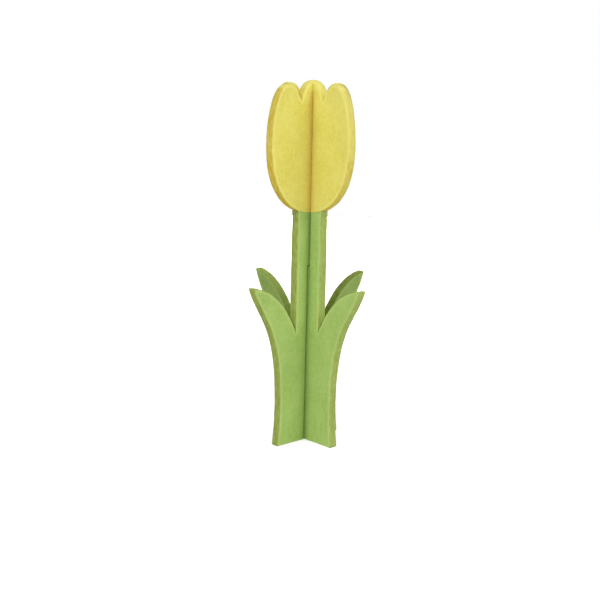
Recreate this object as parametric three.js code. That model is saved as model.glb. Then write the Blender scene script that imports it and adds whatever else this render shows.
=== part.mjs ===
import * as THREE from 'three';

// Felt tulip for a table. Two die-cut felt panels stand crossed at right angles in a half-lap joint.
// Each panel has a green foot, leaves and stem, and a yellow bloom glued edge to edge on top of the stem.
// Millimetres, +Z up. The origin is on the table, on the line where the panels cross.
// The standing panel lies in the XZ plane and the crossing panel in the YZ plane.

// Felt sheet and the fits between the pieces
const FELT_THICKNESS = 5;
const CUT_EDGE_ROUND = 0.7;
const SLOT_CLEARANCE = 0.3;
const LAP_GAP = 0.4;
const GLUE_THICKNESS = 0.4;
const GLUE_CLEARANCE = 0.1;
const GLUE_SETBACK = 0.9;

// Whole tulip
const TULIP_HEIGHT = 211;

// Foot and leaves
const FOOT_WIDTH = 49;
const WAIST_WIDTH = 45.4;
const WAIST_HEIGHT = 25;
const LEAF_SPAN = 86.6;
const LEAF_TIP_HEIGHT = 96.6;
const LEAF_CROOK_HEIGHT = 67;
const STEM_WIDTH = 23.2;

// Bloom
const BLOOM_HEIGHT = 74.3;
const BLOOM_WIDTH = 65.4;
const BLOOM_BELLY_HEIGHT = 39.6;
const SIDE_PETAL_DROP = 1.2;
const PETAL_TIP_SPAN = 40.6;
const PETAL_NOTCH_SPAN = 21.4;
const PETAL_NOTCH_DEPTH = 11;

// Shape of the curves, without units
const BELLY_ROUNDNESS = 2.22;
const MIDDLE_PETAL_ROUNDNESS = 2.7;

// Heights and half widths that follow from the sizes above
const slotHalf = FELT_THICKNESS / 2 + SLOT_CLEARANCE;
const lapHeight = TULIP_HEIGHT / 2;
const bloomBase = TULIP_HEIGHT - BLOOM_HEIGHT;
const bellyHeight = bloomBase + BLOOM_BELLY_HEIGHT;
const glueTop = -GLUE_CLEARANCE;
const glueBottom = glueTop - GLUE_THICKNESS;
const stemTop = glueBottom - GLUE_CLEARANCE;

const point = (x, y) => new THREE.Vector2(x, y);
const mirrored = (points) => points.map((p) => point(-p.x, p.y)).reverse();

// Underside of the bloom: the lower quarter of a slightly squared ellipse, low in the middle
function undersideHeight(x) {
  const share = Math.pow(Math.abs(x) / (BLOOM_WIDTH / 2), BELLY_ROUNDNESS);
  return bellyHeight - BLOOM_BELLY_HEIGHT * Math.pow(1 - share, 1 / BELLY_ROUNDNESS);
}

// The stretch of that curve that the stem meets, moved down by a distance
function seamCurve(fromX, toX, drop) {
  const steps = 8;
  const points = [];
  for (let i = 0; i <= steps; i += 1) {
    const x = fromX + ((toX - fromX) * i) / steps;
    points.push(point(x, undersideHeight(x) + drop));
  }
  return points;
}

// Right-hand edge of the green piece, from the foot's corner up to the stem
function leafEdge() {
  const foot = point(FOOT_WIDTH / 2, 0);
  const waist = point(WAIST_WIDTH / 2, WAIST_HEIGHT);
  const tip = point(LEAF_SPAN / 2, LEAF_TIP_HEIGHT);
  const crook = point(STEM_WIDTH / 2, LEAF_CROOK_HEIGHT);
  const rise = tip.y - waist.y;
  const reach = tip.x - waist.x;
  const fall = tip.y - crook.y;
  const inward = tip.x - crook.x;
  const edge = new THREE.Path();
  edge.moveTo(foot.x, foot.y);
  edge.quadraticCurveTo(waist.x, waist.y * 0.35, waist.x, waist.y);
  edge.bezierCurveTo(
    waist.x, waist.y + rise * 0.68,
    tip.x - reach * 0.31, tip.y - rise * 0.27,
    tip.x, tip.y,
  );
  edge.quadraticCurveTo(crook.x + inward * 0.32, crook.y + fall * 0.83, crook.x, crook.y);
  return edge.getPoints(12);
}

// Right-hand edge of the bloom, from the stem round the belly and the side petal to the notch
function petalEdge() {
  const start = Math.asin(Math.pow(STEM_WIDTH / BLOOM_WIDTH, BELLY_ROUNDNESS / 2));
  const belly = [];
  const steps = 14;
  for (let i = 1; i <= steps; i += 1) {
    const angle = start + ((Math.PI / 2 - start) * i) / steps;
    const x = (BLOOM_WIDTH / 2) * Math.pow(Math.sin(angle), 2 / BELLY_ROUNDNESS);
    belly.push(point(x, i === steps ? bellyHeight : undersideHeight(x)));
  }
  const widest = point(BLOOM_WIDTH / 2, bellyHeight);
  const tip = point(PETAL_TIP_SPAN / 2, TULIP_HEIGHT - SIDE_PETAL_DROP);
  const notch = point(PETAL_NOTCH_SPAN / 2, TULIP_HEIGHT - PETAL_NOTCH_DEPTH);
  const rise = tip.y - widest.y;
  const outward = widest.x - tip.x;
  const inward = tip.x - notch.x;
  const fall = tip.y - notch.y;
  const petal = new THREE.Path();
  petal.moveTo(widest.x, widest.y);
  petal.bezierCurveTo(
    widest.x, widest.y + rise * 0.54,
    tip.x + outward * 0.42, tip.y,
    tip.x, tip.y,
  );
  petal.bezierCurveTo(
    tip.x - inward * 0.34, tip.y,
    tip.x - inward * 0.6, tip.y - fall * 0.38,
    notch.x, notch.y,
  );
  return belly.concat(petal.getPoints(10).slice(1));
}

// Middle petal, from beside the notch in to a distance from the centre line
function middlePetal(endX) {
  const half = PETAL_NOTCH_SPAN / 2;
  const steps = 9;
  const points = [];
  for (let i = 1; i <= steps; i += 1) {
    const x = half + ((endX - half) * i) / steps;
    const drop = PETAL_NOTCH_DEPTH * Math.pow(x / half, MIDDLE_PETAL_ROUNDNESS);
    points.push(point(x, TULIP_HEIGHT - drop));
  }
  return points;
}

// Green piece with its slot open at the top: the stem ends in two prongs
function standingStemOutline() {
  const floor = lapHeight - LAP_GAP / 2;
  const right = leafEdge().concat(seamCurve(STEM_WIDTH / 2, slotHalf, stemTop), point(slotHalf, floor));
  return right.concat(mirrored(right));
}

// Green piece with its slot open at the bottom
function crossingStemOutline() {
  const roof = lapHeight + LAP_GAP / 2;
  const right = leafEdge();
  const top = seamCurve(STEM_WIDTH / 2, -STEM_WIDTH / 2, stemTop);
  const slot = [point(-slotHalf, 0), point(-slotHalf, roof), point(slotHalf, roof), point(slotHalf, 0)];
  return right.concat(top, mirrored(right), slot);
}

// Half bloom beside the slot of the standing panel
function halfBloomOutline() {
  return seamCurve(slotHalf, STEM_WIDTH / 2, 0).concat(petalEdge(), middlePetal(slotHalf));
}

// Whole bloom of the crossing panel
function wholeBloomOutline() {
  const right = petalEdge().concat(middlePetal(0));
  const left = mirrored(right).slice(1);
  return seamCurve(-STEM_WIDTH / 2, STEM_WIDTH / 2, 0).concat(right, left);
}

// Glue film between two distances from the centre line
function glueOutline(fromX, toX) {
  return seamCurve(fromX, toX, glueBottom).concat(seamCurve(toX, fromX, glueTop));
}

// An outline drawn in a panel's own plane, given its thickness and stood upright in the XZ plane
function upright(outline, thickness, edgeRound) {
  const depth = thickness - 2 * edgeRound;
  const solid = new THREE.ExtrudeGeometry(new THREE.Shape(outline), {
    depth,
    bevelEnabled: edgeRound > 0,
    bevelThickness: edgeRound,
    bevelSize: edgeRound,
    bevelOffset: -edgeRound,
    bevelSegments: 2,
  });
  solid.translate(0, 0, -depth / 2);
  solid.rotateX(Math.PI / 2);
  return solid;
}

const feltPiece = (outline) => upright(outline, FELT_THICKNESS, CUT_EDGE_ROUND);
const glueFilm = (outline) => upright(outline, FELT_THICKNESS - 2 * GLUE_SETBACK, 0);

const GREEN_FELT = { color: 0x9fbe62, roughness: 0.95, metalness: 0 };
const YELLOW_FELT = { color: 0xe2d666, roughness: 0.95, metalness: 0 };
const CLEAR_GLUE = { color: 0xe9e2c8, roughness: 0.4, metalness: 0 };

const tulip = new THREE.Group();
tulip.name = 'felt_tulip';

function addPiece(name, geometry, look, turn) {
  const mesh = new THREE.Mesh(geometry.rotateZ(turn), new THREE.MeshStandardMaterial(look));
  mesh.name = name;
  tulip.add(mesh);
}

const HALF_TURN = Math.PI;
const QUARTER_TURN = Math.PI / 2;
const glueEnd = STEM_WIDTH / 2 - GLUE_SETBACK;
const glueStart = slotHalf + GLUE_SETBACK;

// Standing panel
addPiece('standing_stem_panel', feltPiece(standingStemOutline()), GREEN_FELT, 0);
addPiece('standing_bloom_right', feltPiece(halfBloomOutline()), YELLOW_FELT, 0);
addPiece('standing_bloom_left', feltPiece(halfBloomOutline()), YELLOW_FELT, HALF_TURN);
addPiece('standing_glue_right', glueFilm(glueOutline(glueStart, glueEnd)), CLEAR_GLUE, 0);
addPiece('standing_glue_left', glueFilm(glueOutline(glueStart, glueEnd)), CLEAR_GLUE, HALF_TURN);

// Crossing panel, pushed down over the standing panel
addPiece('crossing_stem_panel', feltPiece(crossingStemOutline()), GREEN_FELT, QUARTER_TURN);
addPiece('crossing_bloom', feltPiece(wholeBloomOutline()), YELLOW_FELT, QUARTER_TURN);
addPiece('crossing_glue', glueFilm(glueOutline(-glueEnd, glueEnd)), CLEAR_GLUE, QUARTER_TURN);

export default tulip;
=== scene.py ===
import math
from collections import namedtuple

import bpy
import numpy as np
from mathutils import Matrix, Vector, kdtree, noise
from mathutils.geometry import delaunay_2d_cdt


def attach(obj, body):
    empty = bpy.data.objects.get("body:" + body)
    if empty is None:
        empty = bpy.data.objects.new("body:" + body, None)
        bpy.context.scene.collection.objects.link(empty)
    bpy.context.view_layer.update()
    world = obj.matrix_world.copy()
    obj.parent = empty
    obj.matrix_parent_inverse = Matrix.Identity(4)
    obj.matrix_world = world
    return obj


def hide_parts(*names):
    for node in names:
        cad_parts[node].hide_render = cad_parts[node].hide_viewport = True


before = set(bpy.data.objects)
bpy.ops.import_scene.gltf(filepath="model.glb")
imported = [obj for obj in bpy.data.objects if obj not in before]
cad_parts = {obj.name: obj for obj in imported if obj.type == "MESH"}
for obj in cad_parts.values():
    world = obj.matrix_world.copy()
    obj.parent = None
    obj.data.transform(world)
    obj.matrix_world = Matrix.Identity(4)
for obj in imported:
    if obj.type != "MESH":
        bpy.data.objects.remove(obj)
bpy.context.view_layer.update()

# Standing stem panel: the foot, both leaves and the stem in one piece of thick green felt.
# Needle-punched polyester felt, cut from the sheet, browner on its cut walls, partly in tone and partly as
# painted shade.
# Its slot is open at the top, so the foot runs whole under the crossing panel.
MM = 0.001                              # the piece sizes are in millimetres, as the sheet was cut
FELT = 5.0
FACE_LOFT = 0.2                         # how far the fibres of each face stand out past the pressed sheet
FACE_HALF = FELT / 2 + FACE_LOFT
TULIP_HEIGHT = 211.0
FOOT_HALF = 24.5
FOOT_CORNER = 0.6
WAIST = Vector((22.7, 25.0))
LEAF_TIP = Vector((43.9, 96.6))         # the springy fibre end of the tip stands out past the sheet
LEAF_CROOK = Vector((11.6, 67.0))
SHANK_PULL = Vector((22.7, 8.75))       # pulls are the control points that bend the curve between two ends
OUTER_PULLS = Vector((22.7, 73.688)), Vector((37.328, 77.268))
UPPER_PULLS = Vector((29.365, 94.528)), Vector((18.5445, 82.688))
STEM_HALF = LEAF_CROOK.x
LAP_HEIGHT = TULIP_HEIGHT / 2
LAP_GAP = 0.4                           # left open between the ends of the two slots
MOUTH_PLAY = 0.8                        # the slot's mouth is wider than its felt, which shows as a dark line
STEM_SLOT_HALF = FACE_HALF + MOUTH_PLAY
BLOOM_HALF = 32.4
BLOOM_BASE = 136.7
BLOOM_BELLY = 39.6
BELLY_ROUNDNESS = 2.22
SEAM_GAP = 0.08                         # left for the glue between the two felt edges

# An edge: how much it wavers, its corner's radius in mm, how much it frays and browns (the browning partly
# painted shade), how dark a painted shade makes its wall, and how many mm the middle of its wall swells.
# The wall of a slot swells up to the felt in it.
Edge = namedtuple("Edge", "waver rounding fray browning rubbing swell")
FREE_CUT = Edge(waver=1.0, rounding=0.4, fray=1.0, browning=1.0, rubbing=0.0, swell=0.0)
# A slot's wall takes a dark painted shade, which stands for the shade in the gap beside the other panel.
SLOT_CUT = Edge(waver=0.15, rounding=0.35, fray=0.3, browning=1.2, rubbing=1.8, swell=0.65)
SLOT_END_CUT = SLOT_CUT._replace(swell=0.0)
GLUED_CUT = FREE_CUT._replace(waver=0.1, rounding=0.2, fray=0.15, browning=0.2)
FOOT_CUT = FREE_CUT._replace(waver=0.0, rounding=0.7, fray=0.8)
STANDING_BROWN_AND_SHADE = 0.7                     # the crossing panel is browner along its edges, partly as painted shade on its walls that face away from the light


def bezier(*controls, count=40):
    """Points along a curve with the given control points."""
    points = []
    for i in range(count + 1):
        level = [Vector(c) for c in controls]
        while len(level) > 1:
            level = [a.lerp(b, i / count) for a, b in zip(level, level[1:])]
        points.append(level[0])
    return points


def mirrored(runs):
    """The same stretches of outline on the other side of the centre line, walked the other way."""
    return [([Vector((-p.x, p.y)) for p in reversed(points)], edge) for points, edge in reversed(runs)]


def underside(x):
    """Height of the bloom's lower edge, a slightly squared quarter of an ellipse."""
    share = (abs(x) / BLOOM_HALF) ** BELLY_ROUNDNESS
    return BLOOM_BASE + BLOOM_BELLY * (1 - (1 - share) ** (1 / BELLY_ROUNDNESS))


def seam(start, end, drop):
    """The stretch of that edge that the stem meets, moved down by a distance."""
    return [Vector((x, underside(x) - drop)) for x in np.linspace(start, end, num=24)]


def leaf_side():
    """Right-hand edge of a green piece, from the foot's corner up to the bloom."""
    shank = [p for p in bezier((FOOT_HALF, 0), SHANK_PULL, WAIST) if p.y > FOOT_CORNER]
    outer = bezier((FOOT_HALF - FOOT_CORNER, 0), (FOOT_HALF, 0), shank[0], count=6) + shank[1:]
    outer += bezier(WAIST, *OUTER_PULLS, LEAF_TIP)[1:]
    upper = bezier(LEAF_TIP, *UPPER_PULLS, LEAF_CROOK)
    stem = [LEAF_CROOK, Vector((STEM_HALF, underside(STEM_HALF) - SEAM_GAP))]
    return [(outer, FREE_CUT), (upper, FREE_CUT), (stem, FREE_CUT)]


def standing_stem_runs():
    """The outline in stretches, each with its kind of edge. The slot comes down from the top."""
    floor = LAP_HEIGHT - LAP_GAP / 2
    top = seam(STEM_HALF, STEM_SLOT_HALF, SEAM_GAP)
    wall = [top[-1], Vector((STEM_SLOT_HALF, floor))]
    right = leaf_side() + [(top, GLUED_CUT), (wall, SLOT_CUT)]
    across = [Vector((STEM_SLOT_HALF, floor)), Vector((-STEM_SLOT_HALF, floor))]
    under = [Vector((FOOT_CORNER - FOOT_HALF, 0)), Vector((FOOT_HALF - FOOT_CORNER, 0))]
    return right + [(across, SLOT_END_CUT)] + mirrored(right) + [(under, FOOT_CUT)]


EDGE_STEP = 0.7                         # distance between the points of an outline
RIM_SPRING = 0.1167                     # how far the cut fibres stand out past the blade's line at the faces
BLADE_WAVES = (7.0, 0.14), (2.2, 0.08)  # length and height of the blade's slow and quick waver
CALM_REACH = 3.0                        # the waver dies out this near the table or a sharp inner corner
SHARP_TURN = 0.5                        # cosine of the turn that makes a corner sharp


def ripple(x, z, waves, seed, seed_step):
    """Random ups and downs, the sum of waves that are each given as length and height."""
    total = 0.0
    for i, (length, height) in enumerate(waves):
        total += height * noise.noise((x / length, z / length, seed + i * seed_step))
    return total


def cut_outline(runs, seed):
    """Evenly spaced points with a blade's waver, and the way inwards and the kind of edge at each."""
    points, edges = [], []
    for path, edge in runs:
        steps = [0.0]
        for a, b in zip(path, path[1:]):
            steps.append(steps[-1] + (b - a).length)
        count = max(2, round(steps[-1] / EDGE_STEP))
        marks = np.linspace(0, steps[-1], count + 1)[:-1]
        xs = np.interp(marks, steps, [p.x for p in path])
        zs = np.interp(marks, steps, [p.y for p in path])
        points += list(zip(xs, zs))
        edges += [edge] * count
    points, edges = np.array(points), np.array(edges)
    # One kind of edge passes into the next over three points.
    edges = Edge(*(sum(np.roll(edges, k, 0) for k in (-1, 0, 1)) / 3).T)
    ahead, behind = np.roll(points, -1, 0) - points, points - np.roll(points, 1, 0)
    ahead /= np.linalg.norm(ahead, axis=1)[:, None]
    behind /= np.linalg.norm(behind, axis=1)[:, None]
    turn = behind[:, 0] * ahead[:, 1] - behind[:, 1] * ahead[:, 0]
    calm = np.clip(points[:, 1] / CALM_REACH, 0, 1)
    edges = edges._replace(waver=edges.waver * calm, swell=edges.swell * calm)
    for crook in points[(turn < 0) & ((behind * ahead).sum(1) < SHARP_TURN)]:
        calm = np.clip(np.linalg.norm(points - crook, axis=1) / CALM_REACH, 0, 1)
        edges = edges._replace(waver=edges.waver * calm)
    along = ahead + behind
    along /= np.linalg.norm(along, axis=1)[:, None]
    inward = np.column_stack([-along[:, 1], along[:, 0]])
    for i, (x, z) in enumerate(points.copy()):
        waver = ripple(x, z, BLADE_WAVES, seed, seed_step=5)
        points[i] -= inward[i] * (RIM_SPRING + waver) * edges.waver[i]
    return points, inward, edges


def inside(points, outline):
    """True for each point that lies within the outline."""
    odd = np.zeros(len(points), bool)
    for (ax, az), (bx, bz) in zip(outline, np.roll(outline, -1, 0)):
        if az == bz:
            continue
        spans = (points[:, 1] < az) != (points[:, 1] < bz)
        odd ^= spans & (points[:, 0] < ax + (points[:, 1] - az) * (bx - ax) / (bz - az))
    return odd


CORNER_RINGS = 0.12, 0.4, 0.9           # depths of the rings of points that carry the round corner
RING_ROOM = 0.9                         # a ring's point stays if no edge is much nearer than its depth
FACE_STEP = 1.25                        # distance between the points of a face
ROW_PITCH = 0.866                       # rows of even triangles, as a share of that distance
GRID_ROOM = 0.6                         # room between the last ring and the grid, as a share of it too
INSIDE_ONLY = 1                         # the triangulation keeps what is within the outline
WELD = 1e-5                             # points nearer than this become one


def felt_face(outline, inward):
    """Points and triangles within the outline, its own points among them, and each one's gap to the edge."""
    edge_count = len(outline)
    onward = np.roll(outline, -1, 0) - outline
    dense = np.concatenate([outline + onward * k for k in (0, 0.25, 0.5, 0.75)])
    tree = kdtree.KDTree(len(dense))
    for i, (x, z) in enumerate(dense):
        tree.insert((x, z, 0), i)
    tree.balance()

    def to_edge(points):
        found = [tree.find((x, z, 0)) for x, z in points]
        return np.array([f[2] for f in found]), np.array([f[1] % edge_count for f in found])

    layers = [outline]
    for depth in CORNER_RINGS:
        ring = outline + inward * depth
        layers.append(ring[inside(ring, outline) & (to_edge(ring)[0] > depth * RING_ROOM)])
    low, high = outline.min(0), outline.max(0)
    rows = np.arange(low[1], high[1], FACE_STEP * ROW_PITCH)
    columns = np.arange(low[0], high[0], FACE_STEP)
    grid = np.array([(x + r % 2 * FACE_STEP / 2, z) for r, z in enumerate(rows) for x in columns])
    grid = grid[inside(grid, outline)]
    layers.append(grid[to_edge(grid)[0] > CORNER_RINGS[-1] + FACE_STEP * GRID_ROOM])
    flat = np.concatenate(layers)
    loop = [(i, (i + 1) % edge_count) for i in range(edge_count)]
    made = delaunay_2d_cdt([Vector(p) for p in flat], loop, [], INSIDE_ONLY, WELD)
    flat = np.array([tuple(v) for v in made[0]])
    triangles = [tuple(f) for f in made[2]]
    place = {source: i for i, sources in enumerate(made[3]) for source in sources}
    rim = [place[i] for i in range(edge_count)]
    gap, nearest = to_edge(flat)
    gap[rim], nearest[rim] = 0, range(edge_count)
    return flat, triangles, rim, gap, nearest


FACE_WAVES = (8.0, 0.09), (2.4, 0.06)   # length and height of the slow and quick unevenness of a face
RIM_CALM = 0.3                          # the share of it that is left at the rim
EDGE_FUZZ = 0.7                         # fuzz at the rim, partly a painted highlight, and how much of it each millimetre inwards takes
FUZZ_FADE = 0.4
CREASE_SHADE_REACH = 7.5                        # how far beside the crease a painted shade darkens a face
CREASE_SHADE_FADE = 3                           # high for a painted shade that fades soon
CREASE_SHADE_INSET = 0.3                        # the painted shade also fades within the slot, from this far in
CREASE_SHADE_BLUR = 1.2                         # and is gone this much further in
WALL_ROWS = 6                           # strips of faces from one side of the sheet to the other
WALL_SPRING = 0.245                     # how far the cut fibres stand out half way through the sheet
WALL_FULLNESS = 0.5                     # low for a wall that is full up to its corners
SWELL_SHAPE = 4                         # high for a swelling that stays clear of the corners
RAG_NEAR, RAG_FAR = 0.1, 0.6            # the blade leaves its far side more ragged than the near one
RAG_LENGTH, RAG_DEPTH = 1.0, 0.9        # size of the rags along the edge and through the sheet


def felt_piece(name, runs, seed, turn=0.0, brown_and_shade_scale=1.0, crease_span=(0.0, 0.0)):
    """One closed felt piece: two soft faces, round corners and a cut wall that gets more ragged towards +y.
    One number scales the browning of its cut wall, which is partly painted shade. Between two given
    heights the other panel crosses it, and there a painted shade darkens it beside the crease."""
    outline, inward, edges = cut_outline(runs, seed)
    flat, triangles, rim, gap, nearest = felt_face(outline, inward)
    corner, fray = edges.rounding[nearest], edges.fray[nearest]
    half = FACE_HALF - corner + np.sqrt(corner ** 2 - (corner - np.minimum(gap, corner)) ** 2)
    # A painted shade darkens each face beside the crease, between the heights where the other panel crosses
    # it.
    beyond = np.abs(flat[:, 0]) - FELT / 2
    mark = np.clip(1 - beyond / CREASE_SHADE_REACH, 0, 1) ** CREASE_SHADE_FADE
    mark *= np.clip(1 + (beyond + CREASE_SHADE_INSET) / CREASE_SHADE_BLUR, 0, 1)
    mark *= (flat[:, 1] > crease_span[0]) & (flat[:, 1] < crease_span[1])
    vertices, cut = [], []
    # The browning of the rim and the wall is partly painted shade.
    brown_and_shade = list(edges.browning[nearest] * brown_and_shade_scale) * 2
    crease_shade = list(mark) * 2
    # Each face has its own unevenness, from its own seed.
    for side in (-1, 1):
        for (x, z), h, g, f in zip(flat, half, gap, fray):
            soft = ripple(x, z, FACE_WAVES, seed + 20 * side, seed_step=10 * side)
            vertices.append((x, side * (h + soft * min(1.0, RIM_CALM + g)), z))
            cut.append(f * max(0.0, EDGE_FUZZ - FUZZ_FADE * g))
    count = len(flat)
    faces = triangles + [tuple(count + i for i in reversed(t)) for t in triangles]
    rows = [rim]
    for row in range(1, WALL_ROWS):
        share = row / WALL_ROWS
        arch = math.sin(math.pi * share)
        rag = RAG_NEAR + (RAG_FAR - RAG_NEAR) * share
        rows.append(list(range(len(vertices), len(vertices) + len(rim))))
        for i, source in enumerate(rim):
            x, z = flat[source]
            y = -half[source] * (1 - 2 * share)
            push = WALL_SPRING * arch ** WALL_FULLNESS
            push += rag * noise.noise((x / RAG_LENGTH, z / RAG_LENGTH, y / RAG_DEPTH + seed))
            push = push * edges.waver[i] + edges.swell[i] * arch ** SWELL_SHAPE
            x, z = (x, z) - inward[i] * push
            vertices.append((x, y, z))
            cut.append(1.0)
            brown_and_shade.append(edges.browning[i] * brown_and_shade_scale)
            # The slot walls take a dark painted shade, which stands for the shade in the gap.
            crease_shade.append(edges.rubbing[i])
    rows.append([count + i for i in rim])
    for near, far in zip(rows, rows[1:]):
        faces += [(near[i - 1], far[i - 1], far[i], near[i]) for i in range(len(rim))]

    mesh = bpy.data.meshes.new(name)
    mesh.from_pydata([tuple(c * MM for c in v) for v in vertices], [], faces)
    for label, values in (("cut_edge", cut), ("browning", brown_and_shade), ("rubbing", crease_shade)):
        mesh.attributes.new(label, "FLOAT", "POINT").data.foreach_set("value", values)
    mesh.polygons.foreach_set("use_smooth", [True] * len(mesh.polygons))
    piece = bpy.data.objects.new(name, mesh)
    bpy.context.scene.collection.objects.link(piece)
    piece.matrix_world = Matrix.Rotation(turn, 4, "Z")
    return piece


def linear(code):
    """An sRGB hex colour as the linear colour that Blender's sockets hold."""
    channels = [int(code[i:i + 2], 16) / 255 for i in (1, 3, 5)]
    return tuple(c / 12.92 if c <= 0.04045 else ((c + 0.055) / 1.055) ** 2.4 for c in channels) + (1.0,)


def add(tree, kind, settings=(), **links):
    """Adds a node, sets its properties, and gives each socket a value or another node's output.
    A socket goes by its name, or by its number after an i."""
    node = tree.nodes.new(kind)
    for key, value in dict(settings).items():
        setattr(node, key, value)
    for key, value in links.items():
        by_number = key[0] == "i" and key[1:].isdigit()
        socket = node.inputs[int(key[1:]) if by_number else key.replace("_", " ")]
        if isinstance(value, bpy.types.NodeSocket):
            tree.links.new(value, socket)
        else:
            socket.default_value = value
    return node


def felt_material(name, face, pale_fibre, deep_fibre, cut, crease_shade, crease_shade_depth):
    """Needle-punched felt, pressed but not shorn. To the eye it is matt and faintly fuzzy, clouded, flecked
    with single strands, pale along each corner, partly as a painted highlight, and browned in streaks on the
    cut wall, partly as painted shade. A painted shade darkens it beside the crease and in the slots."""
    material = bpy.data.materials.new(name)
    material.use_nodes = True
    tree = material.node_tree
    tree.nodes.clear()
    place = add(tree, "ShaderNodeTexCoord").outputs["Object"]
    # Clouds about 16 mm across, where the carded web is denser.
    cloud = add(tree, "ShaderNodeTexNoise", Vector=place, Scale=1 / (16 * MM), Detail=2.0).outputs["Fac"]
    # Tufts of matted fibre. Real ones are about 0.5 mm, drawn 1.7 mm across to show at this size.
    tuft = add(tree, "ShaderNodeTexNoise", Vector=place, Scale=1 / (1.7 * MM), Detail=3.0, Distortion=1.1)
    tuft = tuft.outputs["Fac"]
    # Single strands that lie in two directions. Real ones are 0.03 mm thick, drawn 0.5 mm by 4 mm to show.
    strands = []
    for angle in (0.6, -0.9):
        lie = add(tree, "ShaderNodeMapping", Vector=place,
                  Rotation=(0.0, angle, 0.0), Scale=(1.0, 1.0, 0.12))
        strand = add(tree, "ShaderNodeTexNoise", Vector=lie.outputs["Vector"],
                     Scale=1 / (0.5 * MM), Detail=2.0)
        strands.append(strand.outputs["Fac"])
    lay = add(tree, "ShaderNodeMath", {"operation": "MAXIMUM"}, i0=strands[0], i1=strands[1]).outputs[0]
    # Layers of the web on the cut wall, running along it. Real ones are about 0.6 mm, drawn 1.2 mm to show.
    layer_place = add(tree, "ShaderNodeMapping", Vector=place, Scale=(0.3, 1.0, 0.3)).outputs["Vector"]
    layer = add(tree, "ShaderNodeTexNoise", Vector=layer_place, Scale=1 / (1.2 * MM), Detail=3.0)
    layer = layer.outputs["Fac"]
    edge = add(tree, "ShaderNodeAttribute", {"attribute_name": "cut_edge"}).outputs["Fac"]
    brown_and_shade = add(tree, "ShaderNodeAttribute", {"attribute_name": "browning"}).outputs["Fac"]
    crease_shade_mask = add(tree, "ShaderNodeAttribute", {"attribute_name": "rubbing"}).outputs["Fac"]

    # Each range turns the values from i1 to i2 into those from i3 to i4.
    shade = add(tree, "ShaderNodeMapRange", Value=tuft, i1=0.34, i2=0.6, i3=0.5, i4=0.0).outputs["Result"]
    fleck = add(tree, "ShaderNodeMapRange", Value=lay, i1=0.5, i2=0.72, i3=0.0, i4=0.35).outputs["Result"]
    haze = add(tree, "ShaderNodeMapRange", Value=cloud, i1=0.35, i2=0.65, i3=0.0, i4=0.35).outputs["Result"]
    # A pale fuzz lies along the rounded corner, partly a painted highlight, and the wall beyond it is
    # browned, partly as painted shade.
    fuzz_and_highlight = add(tree, "ShaderNodeMapRange", Value=edge, i1=0.05, i2=0.4, i3=0.0, i4=0.65).outputs["Result"]
    wall_brown_and_shade = add(tree, "ShaderNodeMapRange", Value=edge, i1=0.5, i2=0.7, i3=0.0, i4=1.0).outputs["Result"]
    streak = add(tree, "ShaderNodeMapRange", Value=layer, i1=0.35, i2=0.65, i3=0.5, i4=1.1).outputs["Result"]
    wall_brown_and_shade = add(tree, "ShaderNodeMath", {"operation": "MULTIPLY"}, i0=wall_brown_and_shade, i1=brown_and_shade).outputs[0]
    streaked_brown_and_shade = add(tree, "ShaderNodeMath", {"operation": "MULTIPLY"}, i0=wall_brown_and_shade, i1=streak).outputs[0]
    # A painted shade darkens the faces beside the crease and the slot walls, in its own colour.
    crease_darkening = add(tree, "ShaderNodeMath", {"operation": "MULTIPLY"}, i0=crease_shade_mask, i1=crease_shade_depth).outputs[0]
    colour = linear(face)
    for share, tint in ((shade, deep_fibre), (fleck, pale_fibre), (haze, pale_fibre), (fuzz_and_highlight, pale_fibre),
                        (streaked_brown_and_shade, cut), (crease_darkening, crease_shade)):
        mix = add(tree, "ShaderNodeMix", {"data_type": "RGBA"}, i0=share, i6=colour, i7=linear(tint))
        colour = mix.outputs[2]

    pile = add(tree, "ShaderNodeMath", {"operation": "ADD"}, i0=tuft, i1=lay).outputs[0]
    relief = add(tree, "ShaderNodeMix", {"data_type": "FLOAT"}, i0=edge, i2=pile, i3=layer).outputs[0]
    bump = add(tree, "ShaderNodeBump", Strength=0.45, Distance=0.35 * MM, Height=relief).outputs["Normal"]
    rough = add(tree, "ShaderNodeMapRange", Value=tuft, i1=0.3, i2=0.7, i3=0.9, i4=1.0).outputs["Result"]
    shader = add(tree, "ShaderNodeBsdfPrincipled", Base_Color=colour, Roughness=rough, Normal=bump,
                 Specular_IOR_Level=0.04, Sheen_Weight=0.12, Sheen_Roughness=0.6,
                 Sheen_Tint=linear(pale_fibre))
    add(tree, "ShaderNodeOutputMaterial", Surface=shader.outputs[0])
    return material


# Green felt: a soft leaf green, olive where its cut walls are browned, partly as painted shade, and a dark
# green painted shade in the slots and beside the crease.
green_felt = felt_material("needle_felt_green", face="#A4C167", pale_fibre="#B9D17F", deep_fibre="#86A34D",
                           cut="#929D46", crease_shade="#4C7616", crease_shade_depth=0.55)
standing_stem = felt_piece("standing_stem_felt", standing_stem_runs(), seed=1.0, brown_and_shade_scale=STANDING_BROWN_AND_SHADE,
                           crease_span=(0.0, LAP_HEIGHT))
standing_stem.data.materials.append(green_felt)
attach(standing_stem, "standing_panel")
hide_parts("standing_stem_panel")

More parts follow.
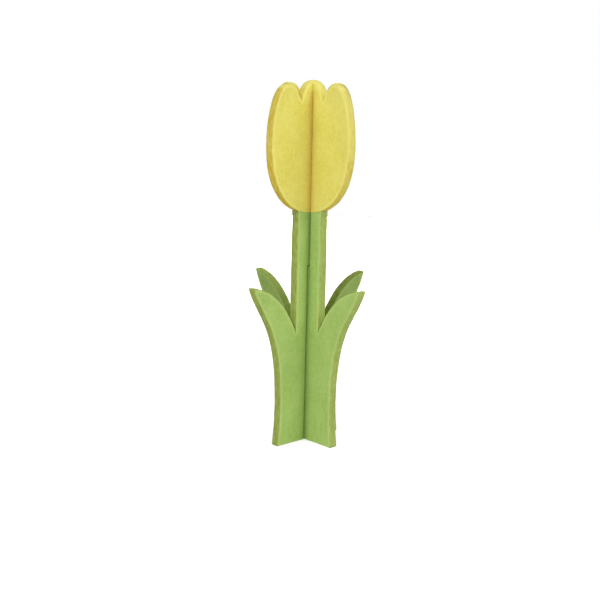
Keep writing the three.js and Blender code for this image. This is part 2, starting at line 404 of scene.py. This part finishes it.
# Standing bloom halves: the yellow felt bloom of the standing panel, cut in two by its slot.
# Each half is butted on one prong of the stem, edge to edge and flush, and held by glue.
# The two halves are one shape, turned half round.
BLOOM_SIDE = Vector((BLOOM_HALF, BLOOM_BASE + BLOOM_BELLY))
PETAL_TIP = Vector((20.3, 209.1))
PETAL_NOTCH = Vector((10.7, 200.0))
PETAL_OUTER_PULLS = Vector((32.4, 194.012)), Vector((27.318, 209.1))
PETAL_INNER_PULLS = Vector((15.5, 209.1)), Vector((14.732, 207.098))
MIDDLE_PETAL_ROUNDNESS = 2.7
BLOOM_PLAY = 0.05                       # the blooms fit closely, so the crease shows no gap
BLOOM_SLOT_HALF = FACE_HALF + BLOOM_PLAY
MATTED_PRESS = 0.2                      # near the top the fibres of both blooms reach into each other
MATTED_SLOT_HALF = FACE_HALF - MATTED_PRESS
MATTED_DEPTH = 6.0                      # down to this far below the top
PARTING = 10.0                          # over this height below it the two edges part
BELLY_END = 168.38                      # the brown of the belly, partly painted shade on its lower walls, ends at this height
PETAL_TOP_START = 207.0                 # and the pale petal tops start at this one
# The browning of these bloom edges is partly painted shade: strongest round the crease and on the belly.
BLOOM_SLOT_CUT = FREE_CUT._replace(waver=0.1, rounding=0.9, browning=3.0)     # browned round its corner, which is painted shade in the crease
MATTED_CUT = FREE_CUT._replace(waver=0.0, rounding=0.25, fray=0.0, browning=0.0)
PETAL_TOP_CUT = FREE_CUT._replace(rounding=0.55, browning=0.15)
NOTCH_CUT = FREE_CUT._replace(browning=0.6)
BELLY_CUT = FREE_CUT._replace(browning=2.3)
HALVES_BROWN_AND_SHADE = 0.3                       # the halves stay paler along their sides, partly as painted light on their walls that face the light


def petal_runs(points, belly_edge, side_edge):
    """A stretch of the bloom's outline, parted where the brown belly ends and the pale petal tops start."""
    runs = []
    for a, b in zip(points, points[1:]):
        height = (a.y + b.y) / 2
        edge = PETAL_TOP_CUT if height > PETAL_TOP_START else side_edge
        edge = belly_edge if height < BELLY_END else edge
        if runs and runs[-1][1] == edge:
            runs[-1][0].append(b)
        else:
            runs.append(([a, b], edge))
    return runs


def petal_side(end, belly_edge):
    """Right-hand edge of a bloom: belly, side petal, notch, and the middle petal in to the distance end."""
    outer = [Vector((STEM_HALF, underside(STEM_HALF)))]
    start = math.asin((STEM_HALF / BLOOM_HALF) ** (BELLY_ROUNDNESS / 2))
    for angle in np.linspace(start, math.pi / 2, num=40)[1:-1]:
        x = BLOOM_HALF * math.sin(angle) ** (2 / BELLY_ROUNDNESS)
        outer.append(Vector((x, underside(x))))
    outer += bezier(BLOOM_SIDE, *PETAL_OUTER_PULLS, PETAL_TIP)
    outer += bezier(PETAL_TIP, *PETAL_INNER_PULLS, PETAL_NOTCH)[1:]
    middle = []
    for x in np.linspace(PETAL_NOTCH.x, end, num=30):
        drop = (TULIP_HEIGHT - PETAL_NOTCH.y) * (x / PETAL_NOTCH.x) ** MIDDLE_PETAL_ROUNDNESS
        middle.append(Vector((x, TULIP_HEIGHT - drop)))
    return petal_runs(outer, belly_edge, FREE_CUT) + petal_runs(middle, belly_edge, NOTCH_CUT)


def half_bloom_runs():
    """The outline of one half. Its slot wall leans in to the matted stretch at the top."""
    side = petal_side(MATTED_SLOT_HALF, BELLY_CUT)
    foot = seam(BLOOM_SLOT_HALF, STEM_HALF, 0.0)
    top = side[-1][0][-1]
    matted = [top, top - Vector((0, MATTED_DEPTH))]
    wall = [matted[1], Vector((BLOOM_SLOT_HALF, matted[1].y - PARTING)), foot[0]]
    return [(foot, GLUED_CUT)] + side + [(matted, MATTED_CUT), (wall, BLOOM_SLOT_CUT)]


# Yellow felt: a soft lemon yellow, amber where its cut walls are browned, partly as painted shade, and an
# amber painted shade beside the crease.
yellow_felt = felt_material("needle_felt_yellow", face="#DED465", pale_fibre="#EAE384", deep_fibre="#CCBA4A",
                            cut="#C9AB30", crease_shade="#C48C18", crease_shade_depth=0.55)
for name, seed, turn in (("right", 2.0, 0.0), ("left", 3.0, math.pi)):
    half = felt_piece("standing_bloom_felt_" + name, half_bloom_runs(), seed, turn, brown_and_shade_scale=HALVES_BROWN_AND_SHADE,
                      crease_span=(0.0, TULIP_HEIGHT - MATTED_DEPTH))
    half.data.materials.append(yellow_felt)
    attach(half, "standing_panel")
    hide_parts("standing_bloom_" + name)

# Glue films: white craft glue, brushed on the stem's end and dried clear between the felt edges.
# The films stay the shape that was cut for them, and only a hairline of them reaches the faces.
# Dried glue is a pale film with a half gloss, duller and yellower in spots where the felt drank it.
glue = bpy.data.materials.new("dried_craft_glue")
glue.use_nodes = True
tree = glue.node_tree
tree.nodes.clear()
place = add(tree, "ShaderNodeTexCoord").outputs["Object"]
# The spots are about 1.5 mm across.
soak = add(tree, "ShaderNodeTexNoise", Vector=place, Scale=1 / (1.5 * MM), Detail=2.0).outputs["Fac"]
tone = add(tree, "ShaderNodeMix", {"data_type": "RGBA"}, i0=soak, i6=linear("#D9D3A8"), i7=linear("#ECE7CF"))
gloss = add(tree, "ShaderNodeMapRange", Value=soak, i1=0.3, i2=0.7, i3=0.35, i4=0.6).outputs["Result"]
shader = add(tree, "ShaderNodeBsdfPrincipled", Base_Color=tone.outputs[2], Roughness=gloss, IOR=1.47)
add(tree, "ShaderNodeOutputMaterial", Surface=shader.outputs[0])
for name in ("standing_glue_right", "standing_glue_left", "crossing_glue"):
    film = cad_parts[name]
    film.data.materials.clear()
    film.data.materials.append(glue)


# Crossing stem panel: the same green felt foot, leaves and stem, with its slot open at the bottom.
# It is pushed down over the standing panel until both feet stand on the table.
def crossing_stem_runs():
    """The outline in stretches, each with its kind of edge. The slot comes up from the foot."""
    roof = LAP_HEIGHT + LAP_GAP / 2
    side = leaf_side()
    top = seam(STEM_HALF, -STEM_HALF, SEAM_GAP)
    wide, reach = STEM_SLOT_HALF, FOOT_HALF - FOOT_CORNER
    slot = [Vector(p) for p in ((-reach, 0), (-wide, 0), (-wide, roof), (wide, roof), (wide, 0), (reach, 0))]
    edges = (FOOT_CUT, SLOT_CUT, SLOT_END_CUT, SLOT_CUT, FOOT_CUT)
    under = [([a, b], edge) for a, b, edge in zip(slot, slot[1:], edges)]
    return side + [(top, GLUED_CUT)] + mirrored(side) + under


crossing_stem = felt_piece("crossing_stem_felt", crossing_stem_runs(), seed=4.0, turn=math.pi / 2,
                           crease_span=(0.0, TULIP_HEIGHT))
crossing_stem.data.materials.append(green_felt)
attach(crossing_stem, "crossing_panel")
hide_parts("crossing_stem_panel")

# Crossing bloom: the whole bloom of yellow felt, glued on top of the crossing panel's stem.
# It drops between the two halves of the other bloom as the panel is pushed down.
WHOLE_BELLY_CUT = FREE_CUT._replace(browning=1.3)
WHOLE_BROWN_AND_SHADE = 0.8                        # it is browner along its sides than the halves, partly as painted shade on its walls that face away from the light


def whole_bloom_runs():
    """The outline of the whole bloom, the same on both sides."""
    side = petal_side(0.0, WHOLE_BELLY_CUT)
    return [(seam(-STEM_HALF, STEM_HALF, 0.0), GLUED_CUT)] + side + mirrored(side)


crossing_bloom = felt_piece("crossing_bloom_felt", whole_bloom_runs(), seed=5.0, turn=math.pi / 2,
                            brown_and_shade_scale=WHOLE_BROWN_AND_SHADE, crease_span=(0.0, TULIP_HEIGHT - MATTED_DEPTH))
crossing_bloom.data.materials.append(yellow_felt)
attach(crossing_bloom, "crossing_panel")
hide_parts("crossing_bloom")

# Table: a round of smooth white paper under the tulip, which keeps its soft shadow.
# To the eye it is matt and plain, and it brightens outwards until its rim melts into the white room.
TABLE_RINGS = 0.1, 0.2, 0.35, 0.6, 0.9  # radii in metres
TABLE_SIDES = 64
SHADOW_REACH = 0.08                     # the paper starts to brighten this far from the middle
WHITE_REACH = 0.5                       # and is white from here on
vertices = [(0.0, 0.0, 0.0)]
faces = []
for ring, radius in enumerate(TABLE_RINGS):
    first = 1 + TABLE_SIDES * ring
    for i in range(TABLE_SIDES):
        angle = math.tau * i / TABLE_SIDES
        vertices.append((radius * math.cos(angle), radius * math.sin(angle), 0.0))
        here, after = first + i, first + (i + 1) % TABLE_SIDES
        inner = (0,) if ring == 0 else (after - TABLE_SIDES, here - TABLE_SIDES)
        faces.append((here, after) + inner)
mesh = bpy.data.meshes.new("paper_table")
mesh.from_pydata(vertices, [], faces)
table = bpy.data.objects.new("paper_table", mesh)
bpy.context.scene.collection.objects.link(table)


def seen_ray(tree):
    """1 where a ray comes from the camera, a reflection or clear glass, and 0 where it carries light."""
    path = add(tree, "ShaderNodeLightPath").outputs
    seen = path["Is Camera Ray"]
    for ray in ("Is Glossy Ray", "Is Transmission Ray"):
        seen = add(tree, "ShaderNodeMath", {"operation": "MAXIMUM"}, i0=seen, i1=path[ray]).outputs[0]
    return seen


paper = bpy.data.materials.new("white_paper")
paper.use_nodes = True
tree = paper.node_tree
tree.nodes.clear()
spot = add(tree, "ShaderNodeTexCoord").outputs["Object"]
away = add(tree, "ShaderNodeVectorMath", {"operation": "LENGTH"}, i0=spot).outputs["Value"]
bright = add(tree, "ShaderNodeMapRange", Value=away, i1=SHADOW_REACH, i2=WHITE_REACH, i3=0.65, i4=1.0)
lift = add(tree, "ShaderNodeMath", {"operation": "MULTIPLY"}, i0=seen_ray(tree), i1=bright.outputs["Result"])
sheet = add(tree, "ShaderNodeBsdfDiffuse", Color=linear("#D6D6D4")).outputs[0]
glow = add(tree, "ShaderNodeEmission", Color=linear("#FFFFFF"), Strength=lift.outputs[0]).outputs[0]
both = add(tree, "ShaderNodeAddShader", i0=sheet, i1=glow).outputs[0]
add(tree, "ShaderNodeOutputMaterial", Surface=both)
table.data.materials.append(paper)

# Room: a plain white studio, which looks white and adds only a little light of its own.
# Three large softboxes stand high, to the left, to the right and behind the tulip.
# Two small ones stand low, in front and behind, and open the shadows in the crease and under the leaves.
ROOM_LIGHT = 0.05
world = bpy.data.worlds.new("studio")
bpy.context.scene.world = world
world.use_nodes = True
tree = world.node_tree
tree.nodes.clear()
power = add(tree, "ShaderNodeMapRange", Value=seen_ray(tree), i1=0.0, i2=1.0, i3=ROOM_LIGHT, i4=1.0)
room = add(tree, "ShaderNodeBackground", Color=linear("#FFFFFF"), Strength=power.outputs["Result"])
add(tree, "ShaderNodeOutputWorld", Surface=room.outputs[0])
lamp_target = Matrix.Translation((0, 0, TULIP_HEIGHT * MM / 2))
# Azimuth in degrees from the -Y side towards +X, elevation, distance and width in metres, power in watts.
for name, azimuth, elevation, distance, width, watts in (
        ("left_softbox", -3, 48, 1.0, 0.6, 5.0),
        ("right_softbox", 110, 42, 1.0, 0.6, 5.3),
        ("front_softbox", 45, -4, 0.9, 0.12, 3.8),
        ("back_softbox", 226, 45, 1.0, 0.6, 3.6),
        ("low_back_softbox", 225, -4, 0.9, 0.12, 3.4)):
    lamp = bpy.data.lights.new(name, "AREA")
    lamp.shape = "SQUARE"
    lamp.size = width
    lamp.energy = watts
    softbox = bpy.data.objects.new(name, lamp)
    bpy.context.scene.collection.objects.link(softbox)
    around = Matrix.Rotation(math.radians(azimuth), 4, "Z")
    down = Matrix.Rotation(math.radians(90 - elevation), 4, "X")
    softbox.matrix_world = lamp_target @ around @ down @ Matrix.Translation((0, 0, distance))

# Camera: stands where the photograph was taken from, a little above the bloom, and looks down at the tulip.
# It has the same lens, worked out in pixels for a 600 by 600 picture, and the same slight roll.
PICTURE_WIDTH = 600
FOCAL_LENGTH = 1236.9                   # in pixels
SENSOR_WIDTH = 36.0                     # in millimetres
CAMERA_AZIMUTH = 46.327                 # in degrees, like the pan, the tilt and the roll
CAMERA_PAN = 0.377
CAMERA_TILT = 12.387
CAMERA_ROLL = 1.285
CAMERA_DISTANCE = 0.7081                # in metres, like the height
CAMERA_HEIGHT = 0.2398
camera = bpy.data.cameras.new("camera")
camera.sensor_width = SENSOR_WIDTH
camera.lens = SENSOR_WIDTH * FOCAL_LENGTH / PICTURE_WIDTH
camera.clip_start = 0.01
camera_stand = bpy.data.objects.new("camera", camera)
bpy.context.scene.collection.objects.link(camera_stand)
around = Matrix.Rotation(math.radians(CAMERA_AZIMUTH), 4, "Z")
stand = Matrix.Translation((0, -CAMERA_DISTANCE, CAMERA_HEIGHT))
pan = Matrix.Rotation(math.radians(CAMERA_PAN), 4, "Z")
tilt = Matrix.Rotation(math.radians(90 - CAMERA_TILT), 4, "X")
roll = Matrix.Rotation(math.radians(CAMERA_ROLL), 4, "Z")
camera_stand.matrix_world = around @ stand @ pan @ tilt @ roll
bpy.context.scene.camera = camera_stand
bpy.context.scene.view_settings.view_transform = "Standard"
